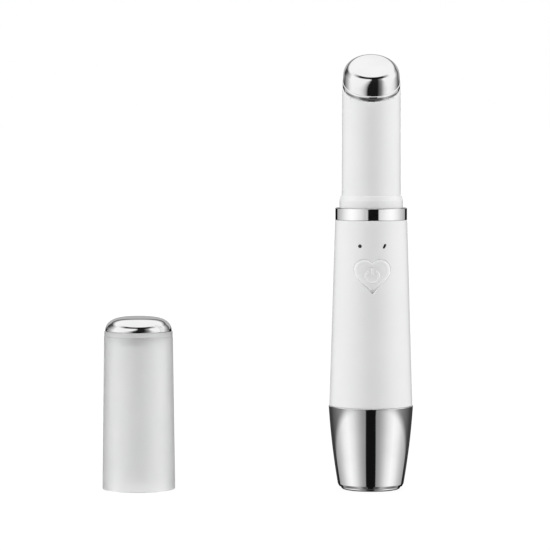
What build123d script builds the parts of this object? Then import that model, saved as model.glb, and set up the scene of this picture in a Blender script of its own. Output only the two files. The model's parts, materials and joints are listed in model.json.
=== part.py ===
from build123d import *
from math import cos, hypot, radians, sin, sqrt, tan
import os

# A slim facial wand that stands on its base, and its pull-off cap that stands beside it.
# Sizes are millimetres. The wand's axis is +Z, its base rests on z = 0 and its button faces -Y.

os.makedirs("parts", exist_ok=True)

# Chrome base
plug_disc_step = 0.5
plug_disc_height = 1.0
plug_edge_round = 0.8
plug_seat_width = 1.1
plug_spigot_height = 7.0
plug_spigot_wall = 1.15
plug_floor = 2.0
sleeve_length = 26.7
sleeve_foot_radius = 10.9
sleeve_top_radius = 13.95
sleeve_bow = 0.352
sleeve_wall = 1.2
sleeve_foot_bevel = 0.45
sleeve_foot_bevel_height = 0.8
sleeve_foot_flange = 2.0

# White handle
handle_length = 61.3
handle_foot_step = 0.25
handle_top_radius = 11.85
handle_top_wall = 1.6
handle_spigot_length = 8.0
handle_spigot_wall = 1.3

# Chrome band and the white upper housing with the cap's seat
band_height = 4.0
band_step = 0.05
band_edge_bevel = 0.15
cap_seat_rise = 0.4
cap_seat_straight = 2.4
collar_height = 4.0
collar_step = 0.35
tube_length = 35.6
tube_bottom_radius = 9.7
tube_top_radius = 9.55
tube_wall = 1.5
housing_foot_depth = 6.0

# Chrome head, cut at a slant that faces down and forwards
head_slant = 28.0
head_height = 8.75
head_radius = 9.3
head_edge_round = 3.8
head_skin = 0.8
head_lip_radius = 9.5
head_lip_height = 1.6
head_lip_bevel = 0.15
head_skirt_length = 10.6

# Head fittings
heater_margin = 0.1
heater_thickness = 0.3
heater_lead_inset = 0.6
sensor_radius = 0.8
sensor_length = 2.6
contact_width = 3.0
contact_thickness = 0.4
contact_length = 6.0

# Vibration motor
motor_radius = 3.5
motor_length = 13.0
motor_cap_length = 2.0
motor_boss_radius = 1.3
motor_boss_height = 0.6
motor_shaft_radius = 0.5
motor_shaft_in_can = 9.0
weight_radius = 3.3
weight_length = 3.8
weight_hub_radius = 1.1
weight_gap = 0.5
holder_floor = 2.0
holder_bore = 2.4
chamber_margin = 0.9
channel_width = 2.4
channel_depth = 2.2

# Heart-shaped power button and its symbol
button_below_lamps = 3.53
button_travel = 0.4
heart_lobe_radius = 3.25
heart_lobe_overlap = 0.67
heart_lobe_rise = 2.22
heart_cheek_radius = 4.35
heart_side_angle = 42.5
heart_notch_round = 0.5
heart_tip_round = 0.35
button_gap = 0.15
button_flange_reach = 0.8
button_flange_thickness = 0.7
button_nib_radius = 1.6
symbol_radius = 2.15
symbol_stroke = 0.8
symbol_gap_angle = 80.0
symbol_bar_bottom = 0.3
symbol_bar_top = 2.7
symbol_relief = 0.2

# Indicator windows
lamp_drop = 2.2
lamp_offset = 4.0
round_window_radius = 0.575
slanted_window_length = 1.6
slanted_window_width = 0.7
slanted_window_turn = 62.0
led_width = 1.6
led_height = 0.8
led_depth = 0.6

# Inner frame, battery and board
frame_wall = 1.0
frame_flange_height = 1.5
frame_start_rise = 1.3
rib_thickness = 3.0
low_rib_rise = 2.5
middle_rib_rise = 20.5
high_rib_drop = 4.5
battery_radius = 5.0
battery_edge_round = 0.5
battery_rise = 1.0
battery_headroom = 9.0
battery_setback = 2.4
battery_slot_width = 8.4
pad_width = 5.0
pad_length = 26.0
pad_corner = 0.5
board_back = 4.4
board_thickness = 1.0
board_corner = 1.0
board_side_gap = 0.36
board_tail = 1.7
board_top_gap = 0.5
screw_edge_distance = 2.1
screw_radius = 0.8
screw_head_radius = 1.4
screw_head_height = 0.8
screw_grip = 4.0

# Parts on the board
switch_side = 4.5
switch_corner = 0.4
switch_depth = 1.6
stem_radius = 1.1
stem_reach = 1.2
stem_socket_depth = 1.1
coil_radius = 3.2
coil_flange = 0.6
coil_core_radius = 2.3
coil_depth = 3.4
coil_drop = 13.0
chip_size = (5.0, 6.0, 1.5)
chip_drop = 1.5
charge_chip_size = (3.0, 3.0, 1.1)
charge_chip_rise = 5.5
capacitor_radius = 1.4
capacitor_depth = 2.2
capacitor_offset = 4.3
capacitor_drop = 5.5

# Micro-USB charging inlet, a standard size
socket_width = 7.5
socket_thickness = 2.6
socket_corner = 0.9
socket_wall = 0.3
socket_length = 5.2
socket_recess = 0.5
tongue_width = 3.8
tongue_thickness = 0.7
tongue_tip_gap = 0.8
tongue_back_height = 1.2
post_radius = 1.4
post_wall_gap = 0.6
socket_board_thickness = 1.0
socket_screw_radius = 0.7
socket_screw_head = 1.3
socket_screw_head_height = 0.7
socket_screw_grip = 2.0

# Insulated leads
lead_radius = 0.35
lead_bend = 1.2
lead_half_pitch = 0.6
lead_solder_drop = 2.8
heater_solder_side = 1.6
motor_solder_side = 3.2
electrode_solder_side = 5.4
sensor_solder_side = 4.4
battery_solder_side = 1.5
socket_solder_side = 3.2

# Cap
cap_place = -76.8
cap_wall_height = 50.6
cap_mouth_wall = 1.53
cap_taper = 0.68
cap_wall = 1.5
cap_seat_depth = 4.0
cap_mouth_round = 0.3
cap_ring_height = 1.7
cap_ring_step = 0.1
cap_ring_lip = 0.4
cap_ring_spigot = 2.6
dome_step = 0.3
dome_height = 4.75
dome_shoulder_inset = 1.3
dome_shoulder_height = 2.6
dome_flat_radius = 5.0
dome_wall = 0.8

# Clearances
glue_gap = 0.05
window_fit = 0.03
screw_fit = 0.02
shaft_running_gap = 0.05
stem_running_gap = 0.05
cap_fit = 0.05
flange_gap = 0.15
socket_slot_gap = 0.1
led_gap = 0.2

# Heights worked out from the stack
sleeve_bottom = plug_disc_height
sleeve_top = sleeve_bottom + sleeve_length
spigot_bottom = sleeve_top - handle_spigot_length
handle_top = sleeve_top + handle_length
band_top = handle_top + band_height
collar_top = band_top + collar_height
cut_height = collar_top + tube_length
face_height = cut_height + head_height
foot_bottom = handle_top - housing_foot_depth
lamp_height = foot_bottom - lamp_drop
button_height = (
    lamp_height - button_below_lamps - button_flange_reach - heart_lobe_radius - heart_lobe_rise
)
frame_start_height = sleeve_top + frame_start_rise
low_rib_height = frame_start_height + low_rib_rise
high_rib_height = button_height - high_rib_drop
rib_heights = (low_rib_height, low_rib_height + middle_rib_rise, high_rib_height)
battery_bottom = frame_start_height + battery_rise
battery_top = foot_bottom - battery_headroom
board_bottom = sleeve_top - board_tail
board_top = foot_bottom - board_top_gap
coil_height = button_height - coil_drop
capacitor_height = coil_height - capacitor_drop
charge_chip_height = low_rib_height + charge_chip_rise
chip_height = (coil_height + charge_chip_height) / 2 - chip_drop
lead_solder_height = foot_bottom - lead_solder_drop
skirt_bottom = cut_height - head_skirt_length
slant_rise = tan(radians(head_slant))
tall = face_height + 2 * head_radius

# Radii worked out from the walls and the clearances
plug_spigot_radius = sleeve_foot_radius - sleeve_foot_bevel - plug_seat_width
plug_disc_radius = plug_spigot_radius + plug_disc_step
plug_bore = plug_spigot_radius - plug_spigot_wall
post_offset = plug_bore - socket_screw_head - post_wall_gap
handle_bottom_radius = sleeve_top_radius - handle_foot_step
band_radius = handle_top_radius - band_step
cap_seat_radius = tube_bottom_radius + collar_step + cap_seat_rise
heart_lobe_offset = heart_lobe_radius - heart_lobe_overlap
tube_bore = tube_bottom_radius - tube_wall
skirt_radius = tube_bore - glue_gap
skirt_bore = skirt_radius - head_skin
heater_radius = head_radius - head_edge_round - heater_margin
heater_shift = (head_edge_round - head_skin) * sin(radians(head_slant))
cavity_top_radius = handle_top_radius - handle_top_wall
foot_radius = cavity_top_radius - glue_gap
board_front = board_back + board_thickness
cap_bore = cap_seat_radius + cap_fit
cap_mouth_radius = cap_bore + cap_mouth_wall
cap_top_radius = cap_mouth_radius - cap_taper
cap_inner_top_radius = cap_top_radius - cap_wall
cap_ring_radius = cap_top_radius - cap_ring_step
cap_ring_bore = cap_inner_top_radius - glue_gap - cap_ring_lip
dome_radius = cap_ring_radius - dome_step
dome_shoulder_radius = dome_radius - dome_shoulder_inset


def circle_through(a, b, c):
    """Centre and radius of the circle through three (radius, height) points."""
    ax, ay = a[0] - c[0], a[1] - c[1]
    bx, by = b[0] - c[0], b[1] - c[1]
    d = 2 * (ax * by - ay * bx)
    x = (by * (ax * ax + ay * ay) - ay * (bx * bx + by * by)) / d
    y = (ax * (bx * bx + by * by) - bx * (ax * ax + ay * ay)) / d
    return c[0] + x, c[1] + y, hypot(x, y)


def bowed_out(low, high, bow):
    """The (radius, height) point that stands out from the middle of a straight side by its bow."""
    across, up = high[0] - low[0], high[1] - low[1]
    length = hypot(across, up)
    return (low[0] + high[0]) / 2 + bow * up / length, (low[1] + high[1]) / 2 - bow * across / length


sleeve_foot = (sleeve_foot_radius, sleeve_bottom + sleeve_foot_bevel_height)
sleeve_rim = (sleeve_top_radius, sleeve_top)
sleeve_arc = circle_through(sleeve_foot, bowed_out(sleeve_foot, sleeve_rim, sleeve_bow), sleeve_rim)


def sleeve_radius(height, inset=0.0):
    """Radius of the sleeve's bowed wall at a height, moved in by inset."""
    centre, middle, radius = sleeve_arc
    return centre + sqrt((radius - inset) ** 2 - (height - middle) ** 2)


spigot_radius = sleeve_radius(spigot_bottom, sleeve_wall) - glue_gap
cavity_bottom_radius = spigot_radius - handle_spigot_wall


def on_line(height, low, low_radius, high, high_radius):
    """Radius at a height on a straight taper."""
    return low_radius + (high_radius - low_radius) * (height - low) / (high - low)


def cavity_radius(height):
    """Radius of the space inside the handle."""
    return on_line(height, spigot_bottom, cavity_bottom_radius, handle_top, cavity_top_radius)


frame_radius = cavity_radius(foot_bottom) - glue_gap
board_half_width = sqrt(cavity_radius(foot_bottom) ** 2 - board_front**2) - board_side_gap
screw_offset = board_half_width - screw_edge_distance


def turned(*edges):
    """A solid turned about Z from edges drawn in (radius, height)."""
    return revolve(Plane.XZ * make_face(edges), Axis.Z)


def turned_corners(*corners):
    """A solid turned about Z from straight-sided (radius, height) corners."""
    return revolve(Plane.XZ * make_face(Polyline(*corners, close=True)), Axis.Z)


def rod(radius, low, high):
    """A cylinder on the Z axis between two heights."""
    return Pos(0, 0, low) * Cylinder(radius, high - low, align=(Align.CENTER, Align.CENTER, Align.MIN))


def block(x, y, z):
    """A box from its (low, high) spans along X, Y and Z."""
    size = [span[1] - span[0] for span in (x, y, z)]
    return Pos((x[0] + x[1]) / 2, (y[0] + y[1]) / 2, (z[0] + z[1]) / 2) * Box(*size)


def forwards(sketch, height, start, end, side=0.0):
    """A sketch seen from the front, made solid from depth start to depth end in front of the axis."""
    plane = Plane(origin=(side, -start, height), x_dir=(1, 0, 0), z_dir=(0, -1, 0))
    return extrude(plane * sketch, amount=end - start)


def slanted(height):
    """A plane across the axis at a height, facing up and forwards as the head's face does."""
    normal = (0, -sin(radians(head_slant)), cos(radians(head_slant)))
    return Plane(origin=(0, 0, height), x_dir=(1, 0, 0), z_dir=normal)


def between(solid, low_plane, high_plane):
    """The stretch of a solid between two slanted planes."""
    lower = split(solid, bisect_by=high_plane, keep=Keep.BOTTOM)
    return split(lower, bisect_by=low_plane, keep=Keep.TOP)


def handle_cone(grow=0.0):
    """The handle's outer taper as one solid, grown by a small amount."""
    return turned_corners(
        (0, sleeve_top),
        (handle_bottom_radius + grow, sleeve_top),
        (handle_top_radius + grow, handle_top),
        (0, handle_top),
    )


def cavity_cone(inset=0.0):
    """The space inside the handle as one solid, shrunk by inset."""
    return turned_corners(
        (0, spigot_bottom),
        (cavity_bottom_radius - inset, spigot_bottom),
        (cavity_top_radius - inset, handle_top),
        (0, handle_top),
    )


def lead(*points):
    """An insulated wire along straight runs joined by tangent arcs."""
    path = FilletPolyline(*points, radius=lead_bend)
    return sweep(Plane(origin=path @ 0, z_dir=path % 0) * Circle(lead_radius), path=path)


def base_sleeve():
    floor = sleeve_bottom + sleeve_foot_flange
    halfway = (floor + sleeve_top) / 2
    bore = plug_spigot_radius + glue_gap
    corners = Polyline(
        (sleeve_radius(floor, sleeve_wall), floor),
        (bore, floor),
        (bore, sleeve_bottom),
        (sleeve_foot_radius - sleeve_foot_bevel, sleeve_bottom),
        sleeve_foot,
    )
    outside = ThreePointArc(sleeve_foot, (sleeve_radius(halfway), halfway), sleeve_rim)
    rim = Line(sleeve_rim, (sleeve_radius(sleeve_top, sleeve_wall), sleeve_top))
    inside = ThreePointArc(
        (sleeve_radius(sleeve_top, sleeve_wall), sleeve_top),
        (sleeve_radius(halfway, sleeve_wall), halfway),
        (sleeve_radius(floor, sleeve_wall), floor),
    )
    return turned(*corners.edges(), outside.edge(), rim.edge(), inside.edge())


def socket_outline(grow=0.0):
    """The inlet's outline, seen from below: a slot with two cut corners."""
    x = socket_width / 2 + grow
    y = socket_thickness / 2 + grow
    cut = socket_corner + grow * tan(radians(22.5))
    return make_face(Polyline((-x, y), (x, y), (x, cut - y), (x - cut, -y), (cut - x, -y), (-x, cut - y), close=True))


post_top = socket_recess + socket_length
socket_screw_places = (-post_offset, post_offset)


def bottom_plug():
    spigot_top = plug_disc_height + plug_spigot_height
    inset = (1 - sqrt(0.5)) * plug_edge_round
    edge = ThreePointArc(
        (plug_disc_radius - plug_edge_round, 0),
        (plug_disc_radius - inset, inset),
        (plug_disc_radius, plug_edge_round),
    )
    side = Polyline(
        (plug_disc_radius, plug_edge_round),
        (plug_disc_radius, plug_disc_height),
        (plug_spigot_radius, plug_disc_height),
        (plug_spigot_radius, spigot_top),
        (plug_bore, spigot_top),
        (plug_bore, plug_floor),
        (0, plug_floor),
        (0, 0),
        (plug_disc_radius - plug_edge_round, 0),
    )
    plug = turned(edge.edge(), *side.edges())
    for place in socket_screw_places:
        plug += Pos(place, 0, 0) * rod(post_radius, plug_floor - glue_gap, post_top)
    for place in socket_screw_places:
        hole_bottom = post_top - socket_screw_grip - glue_gap
        plug -= Pos(place, 0, 0) * rod(socket_screw_radius + screw_fit, hole_bottom, post_top)
    return plug - extrude(socket_outline(socket_slot_gap), amount=plug_floor)


def socket_shell():
    outer = extrude(Plane.XY.offset(socket_recess) * socket_outline(), amount=socket_length)
    bore_length = socket_length - socket_wall
    return outer - extrude(Plane.XY.offset(socket_recess) * socket_outline(-socket_wall), amount=bore_length)


def socket_tongue():
    inner_top = post_top - socket_wall
    back = Plane.XY.offset(inner_top - tongue_back_height) * socket_outline(-socket_wall)
    half_width = tongue_width / 2
    half_thickness = tongue_thickness / 2
    tongue = block(
        (-half_width, half_width),
        (-half_thickness, half_thickness),
        (socket_recess + tongue_tip_gap, inner_top),
    )
    return extrude(back, amount=tongue_back_height) + tongue


def socket_board():
    board = rod(plug_bore - glue_gap, post_top, post_top + socket_board_thickness)
    for place in socket_screw_places:
        board -= Pos(place, 0, 0) * rod(socket_screw_radius + screw_fit, 0, tall)
    return board


def socket_screws():
    seat = post_top + socket_board_thickness
    screw = rod(socket_screw_radius, post_top - socket_screw_grip, seat)
    screw += rod(socket_screw_head, seat, seat + socket_screw_head_height)
    return Compound([Pos(place, 0, 0) * screw.solid() for place in socket_screw_places])


def heart(grow=0.0):
    """The button's outline: two lobes, a fuller cheek below each and two straight sides, grown by an even margin."""
    turn = radians(heart_side_angle)
    lobe_reach = heart_lobe_radius + grow
    cheek_reach = heart_cheek_radius + grow
    lobe = Vector(heart_lobe_offset, heart_lobe_rise)
    cheek = lobe - Vector(heart_cheek_radius - heart_lobe_radius, 0)
    notch = Vector(0, lobe.Y + sqrt(lobe_reach**2 - lobe.X**2))
    top = lobe + Vector(0, lobe_reach)
    side = lobe + Vector(lobe_reach, 0)
    halfway = cheek + Vector(cos(turn / 2), -sin(turn / 2)) * cheek_reach
    low = cheek + Vector(cos(turn), -sin(turn)) * cheek_reach
    tip = Vector(0, low.Y - low.X / tan(turn))
    half = [ThreePointArc(notch, top, side).edge(), ThreePointArc(side, halfway, low).edge(), Line(low, tip).edge()]
    outline = make_face(half + [edge.mirror(Plane.YZ) for edge in half])
    for end, round_radius in ((0, heart_tip_round), (-1, heart_notch_round)):
        corners = outline.vertices().filter_by(lambda corner: abs(corner.X) < 0.01).sort_by(Axis.Y)
        outline = fillet(corners[end], round_radius)
    return outline


def power_symbol():
    """An open ring with an upright bar in its gap, as on power buttons everywhere."""
    ring = Circle(symbol_radius + symbol_stroke / 2) - Circle(symbol_radius - symbol_stroke / 2)
    half_gap = radians(symbol_gap_angle / 2)
    reach = 2 * symbol_radius
    wedge = make_face(
        Polyline(
            (0, 0),
            (reach * sin(half_gap), reach * cos(half_gap)),
            (-reach * sin(half_gap), reach * cos(half_gap)),
            close=True,
        )
    )
    length = symbol_bar_top - symbol_bar_bottom
    bar = Pos(0, (symbol_bar_top + symbol_bar_bottom) / 2) * SlotOverall(length, symbol_stroke, rotation=90)
    return ring - wedge + bar


def slanted_window(grow=0.0):
    length = slanted_window_length + 2 * grow
    return SlotOverall(length, slanted_window_width + 2 * grow, rotation=slanted_window_turn)


def handle_shell():
    spigot = rod(spigot_radius, spigot_bottom, sleeve_top)
    shell = handle_cone() + spigot - cavity_cone()
    outside = handle_bottom_radius + handle_top_wall
    shell -= forwards(heart(button_gap), button_height, 0, outside)
    shell -= forwards(Circle(round_window_radius + window_fit), lamp_height, 0, outside, -lamp_offset)
    shell -= forwards(slanted_window(window_fit), lamp_height, 0, outside, lamp_offset)
    return shell


switch_front = board_front + switch_depth
stem_front = switch_front + stem_reach


def power_button():
    reach = 2 * handle_bottom_radius
    inner = cavity_cone(flange_gap + button_flange_thickness)
    body = forwards(heart(), button_height, board_front, reach) & handle_cone()
    flange = forwards(heart(button_flange_reach), button_height, board_front, reach) & cavity_cone(flange_gap)
    symbol = forwards(power_symbol(), button_height, board_front, reach) & handle_cone(symbol_relief)
    nib = forwards(Circle(button_nib_radius), button_height, stem_front, cavity_radius(button_height))
    return (body + flange + symbol - inner) + nib


def power_switch():
    square = RectangleRounded(switch_side, switch_side, switch_corner)
    body = forwards(square, button_height, board_front, switch_front)
    socket = forwards(
        Circle(stem_radius + stem_running_gap), button_height, switch_front - stem_socket_depth, switch_front
    )
    return body - socket


def switch_stem():
    back = switch_front - stem_socket_depth + button_travel + stem_running_gap
    return forwards(Circle(stem_radius), button_height, back, stem_front)


def led(side):
    chip = Rectangle(led_width, led_height)
    return forwards(chip, lamp_height, board_front, board_front + led_depth, side)


def light_pipe(outline, side):
    start = board_front + led_depth + led_gap
    return forwards(outline, lamp_height, start, 2 * handle_bottom_radius, side) & handle_cone()


def inner_frame():
    trough = rod(frame_radius, frame_start_height, foot_bottom)
    trough -= rod(frame_radius - frame_wall, frame_start_height, foot_bottom)
    ribs = [rod(frame_radius - frame_wall / 2, z - rib_thickness / 2, z + rib_thickness / 2) for z in rib_heights]
    wide = 2 * frame_radius
    front = block((-wide, wide), (-wide, -board_back), (0, tall))
    cell_space = Pos(0, battery_setback, 0) * rod(battery_radius + glue_gap, 0, tall)
    half_slot = battery_slot_width / 2
    slot = block((-half_slot, half_slot), (-wide, battery_setback), (0, tall))
    legs = rod(frame_radius, spigot_bottom - glue_gap, frame_start_height)
    legs -= rod(frame_radius - frame_wall, 0, tall)
    legs &= block((-wide, wide), (-battery_slot_width / 4, battery_slot_width / 4), (0, tall))
    flange_bottom = spigot_bottom - frame_flange_height
    flange = rod(sleeve_radius(flange_bottom, sleeve_wall) - flange_gap, flange_bottom, spigot_bottom)
    flange -= rod(frame_radius - frame_wall, 0, tall)
    frame = trough
    for rib in ribs:
        frame += rib
    frame = frame - front - cell_space - slot + legs + flange
    for place in screw_places:
        frame -= screw_hole(place)
    return frame


screw_places = [
    (side, height) for side in (-screw_offset, screw_offset) for height in (low_rib_height, high_rib_height)
]


def screw_hole(place):
    hole = Circle(screw_radius + screw_fit)
    return forwards(hole, place[1], board_back - screw_grip - glue_gap, board_front, place[0])


def board_screw(place):
    side, height = place
    shank = forwards(Circle(screw_radius), height, board_back - screw_grip, board_front, side)
    head = forwards(Circle(screw_head_radius), height, board_front, board_front + screw_head_height, side)
    return (shank + head).solid()


def board_screws():
    return Compound([board_screw(place) for place in screw_places])


def main_board():
    sheet = RectangleRounded(2 * board_half_width, board_top - board_bottom, board_corner)
    board = forwards(sheet, (board_bottom + board_top) / 2, board_back, board_front)
    for place in screw_places:
        board -= screw_hole(place)
    return board


def battery_cell():
    cell = rod(battery_radius, battery_bottom, battery_top)
    return Pos(0, battery_setback, 0) * fillet(cell.edges().filter_by(GeomType.CIRCLE), battery_edge_round)


def battery_pad():
    middle = (battery_bottom + battery_top) / 2
    sheet = RectangleRounded(pad_width, pad_length, pad_corner)
    return forwards(sheet, middle, battery_radius - battery_setback, board_back)


def step_up_coil():
    flange = Circle(coil_radius)
    front = board_front + coil_depth
    coil = forwards(flange, coil_height, board_front, board_front + coil_flange)
    coil += forwards(Circle(coil_core_radius), coil_height, board_front, front)
    return coil + forwards(flange, coil_height, front - coil_flange, front)


def chip(size, height):
    width, length, depth = size
    return forwards(Rectangle(width, length), height, board_front, board_front + depth)


def board_capacitors():
    ends = board_front, board_front + capacitor_depth
    cans = [
        forwards(Circle(capacitor_radius), capacitor_height, *ends, side).solid()
        for side in (-capacitor_offset, capacitor_offset)
    ]
    return Compound(cans)


def chrome_band():
    ring = rod(band_radius, handle_top, band_top)
    ring = chamfer(ring.edges().filter_by(GeomType.CIRCLE), band_edge_bevel)
    return ring - rod(foot_radius + glue_gap, handle_top, band_top)


def upper_housing():
    top = cut_height + tube_top_radius * slant_rise + tube_wall
    blank = turned_corners(
        (tube_bore, foot_bottom),
        (foot_radius, foot_bottom),
        (foot_radius, band_top),
        (cap_seat_radius, band_top),
        (cap_seat_radius, band_top + cap_seat_straight),
        (tube_bottom_radius + collar_step, collar_top),
        (tube_bottom_radius, collar_top),
        (tube_top_radius, top),
        (tube_bore, top),
    )
    return split(blank, bisect_by=slanted(cut_height), keep=Keep.BOTTOM)


def massage_head():
    cut = slanted(cut_height)
    face = slanted(face_height)
    wall = between(rod(head_radius, skirt_bottom, tall), cut, face)
    wall = fillet(wall.faces().sort_by(Axis.Z)[-1].edges(), head_edge_round)
    lip = between(rod(head_lip_radius, skirt_bottom, tall), cut, cut.offset(head_lip_height))
    lip = chamfer(lip.edges().filter_by(GeomType.ELLIPSE), head_lip_bevel)
    inside = rod(head_radius - head_skin, skirt_bottom, tall)
    inside = between(inside, cut.offset(head_lip_height), face.offset(-head_skin))
    inside = fillet(inside.faces().sort_by(Axis.Z)[-1].edges(), head_edge_round - head_skin)
    skirt = split(rod(skirt_radius, skirt_bottom, tall), bisect_by=cut.offset(head_lip_height), keep=Keep.BOTTOM)
    bore = split(rod(skirt_bore, 0, tall), bisect_by=cut.offset(head_lip_height), keep=Keep.BOTTOM)
    return wall + lip - inside + skirt - bore


def heater_pad():
    top = slanted(face_height).offset(-head_skin)
    disc = Pos(0, -heater_shift, 0) * rod(heater_radius, 0, tall)
    return between(disc, top.offset(-heater_thickness), top)


def temperature_sensor():
    seat = slanted(face_height).offset(-head_skin - heater_thickness - sensor_radius)
    bead = Cylinder(sensor_radius, sensor_length, rotation=(0, 90, 0))
    return seat * fillet(bead.edges().filter_by(GeomType.CIRCLE), 0.7 * sensor_radius)


def electrode_contact():
    low = skirt_bottom + glue_gap
    strip = rod(skirt_bore, low, low + contact_length) - rod(skirt_bore - contact_thickness, 0, tall)
    half = contact_width / 2
    return strip & block((0, 2 * skirt_bore), (-half, half), (0, tall))


weight_top = skirt_bottom - weight_gap
weight_bottom = weight_top - weight_length
can_top = weight_bottom - weight_gap - motor_boss_height
can_bottom = can_top - motor_length
motor_bottom = can_bottom - motor_cap_length
holder_bottom = motor_bottom - holder_floor


def motor_holder():
    holder = rod(skirt_radius, holder_bottom, skirt_bottom)
    holder -= rod(motor_radius + glue_gap, motor_bottom, can_top)
    holder -= rod(holder_bore, holder_bottom, motor_bottom)
    holder -= rod(weight_radius + chamber_margin, can_top, skirt_bottom)
    groove = block((skirt_radius - channel_depth, tall), (-channel_width / 2, channel_width / 2), (0, tall))
    for turn in range(4):
        holder -= Rot(0, 0, 90 * turn) * groove
    return holder


def motor_can():
    can = rod(motor_radius, can_bottom, can_top) + rod(motor_boss_radius, can_top, can_top + motor_boss_height)
    return can - rod(motor_shaft_radius + shaft_running_gap, can_top - motor_shaft_in_can, tall)


def motor_end_cap():
    return rod(motor_radius, motor_bottom, can_bottom)


def motor_shaft():
    return rod(motor_shaft_radius, can_top - motor_shaft_in_can + weight_gap, weight_top)


def eccentric_weight():
    lobe = rod(weight_radius, weight_bottom, weight_top)
    lobe &= block((-weight_radius, weight_radius), (-weight_radius, 0), (0, tall))
    hub = rod(weight_hub_radius, weight_bottom, weight_top)
    return lobe + hub - rod(motor_shaft_radius, 0, tall)


behind_board = board_back - 4 * lead_radius - lead_bend
lead_turn_height = holder_bottom - lead_bend


def soldered(side, start):
    """The last points of a lead that comes down the tube and turns forwards into the board."""
    return (
        (*start, lead_turn_height),
        (side, -behind_board / 2, foot_bottom + 4 * lead_bend),
        (side, -behind_board / 2, lead_solder_height),
        (side, -board_back, lead_solder_height),
    )


def motor_leads():
    wires = []
    for side in (-1, 1):
        start = (side * motor_boss_radius, 0)
        wires.append(lead((*start, motor_bottom), *soldered(side * motor_solder_side, start)).solid())
    return Compound(wires)


def under_heater(back):
    """Height at which a lead's end, at a distance behind the axis, just meets the heater's underside."""
    skin = (head_skin + heater_thickness) / cos(radians(head_slant))
    return face_height + (back - lead_radius) * slant_rise - skin


channel_middle = skirt_bore - 2 * lead_radius


def heater_leads():
    wires = []
    back = heater_radius - heater_shift - heater_lead_inset
    for side in (-1, 1):
        place = side * lead_half_pitch
        channel = (place, channel_middle)
        points = [(place, back, under_heater(back)), (place, back, skirt_bottom + 5 * lead_bend)]
        points += [(*channel, skirt_bottom + lead_bend), *soldered(side * heater_solder_side, channel)]
        wires.append(lead(*points).solid())
    return Compound(wires)


def sensor_leads():
    wires = []
    height = under_heater(0) - 2 * sensor_radius
    for side in (-1, 1):
        place = side * lead_half_pitch
        channel = (place, -channel_middle)
        points = [(place, 0, height), (place, 0, height - 3 * lead_bend)]
        points += [(*channel, skirt_bottom + lead_bend), *soldered(side * sensor_solder_side, channel)]
        wires.append(lead(*points).solid())
    return Compound(wires)


def electrode_lead():
    start = (skirt_bore - lead_radius - glue_gap, 0)
    return lead((*start, skirt_bottom + glue_gap), *soldered(electrode_solder_side, start))


def battery_leads():
    wires = []
    for end, way in ((battery_top, 1), (battery_bottom, -1)):
        side = way * battery_solder_side
        turn = end + way * 2 * lead_bend
        points = [(side, battery_setback, end), (side, battery_setback, turn), (side, -board_back, turn)]
        wires.append(lead(*points).solid())
    return Compound(wires)


def socket_leads():
    wires = []
    start = post_top + socket_board_thickness
    level = board_bottom + 2 * lead_bend
    for side in (-socket_solder_side, socket_solder_side):
        points = [(side, behind_board, start), (side, behind_board, (start + level) / 2)]
        points += [(side, -behind_board / 2, level - 4 * lead_bend), (side, -behind_board / 2, level)]
        points += [(side, -board_back, level)]
        wires.append(lead(*points).solid())
    return Compound(wires)


def cap_shell():
    wall = turned_corners(
        (cap_bore, 0),
        (cap_mouth_radius, 0),
        (cap_top_radius, cap_wall_height),
        (cap_inner_top_radius, cap_wall_height),
        (cap_bore, cap_seat_depth),
    )
    rim = wall.edges().filter_by(GeomType.CIRCLE).sort_by(Axis.Z)[0:2].sort_by(SortBy.RADIUS)[-1]
    return fillet(rim, cap_mouth_round)


def cap_ring():
    top = cap_wall_height + cap_ring_height
    spigot = cap_inner_top_radius - glue_gap
    return turned_corners(
        (cap_ring_bore, cap_wall_height - cap_ring_spigot),
        (spigot, cap_wall_height - cap_ring_spigot),
        (spigot, cap_wall_height),
        (cap_ring_radius, cap_wall_height),
        (cap_ring_radius, top),
        (cap_ring_bore, top),
    )


def cap_dome():
    base = cap_wall_height + cap_ring_height
    top = base + dome_height
    lean = sqrt(0.5) * dome_wall
    outside = ThreePointArc(
        (dome_radius, base),
        (dome_shoulder_radius, base + dome_shoulder_height),
        (dome_flat_radius, top),
    )
    inside = ThreePointArc(
        (dome_flat_radius, top - dome_wall),
        (dome_shoulder_radius - lean, base + dome_shoulder_height - lean),
        (dome_radius - dome_wall, base),
    )
    crown = Polyline(
        (dome_flat_radius, top),
        (0, top),
        (0, top - dome_wall),
        (dome_flat_radius, top - dome_wall),
    )
    foot = Line((dome_radius - dome_wall, base), (dome_radius, base))
    return turned(outside.edge(), *crown.edges(), inside.edge(), foot.edge())


at_cap = Pos(cap_place, 0, 0)

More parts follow.
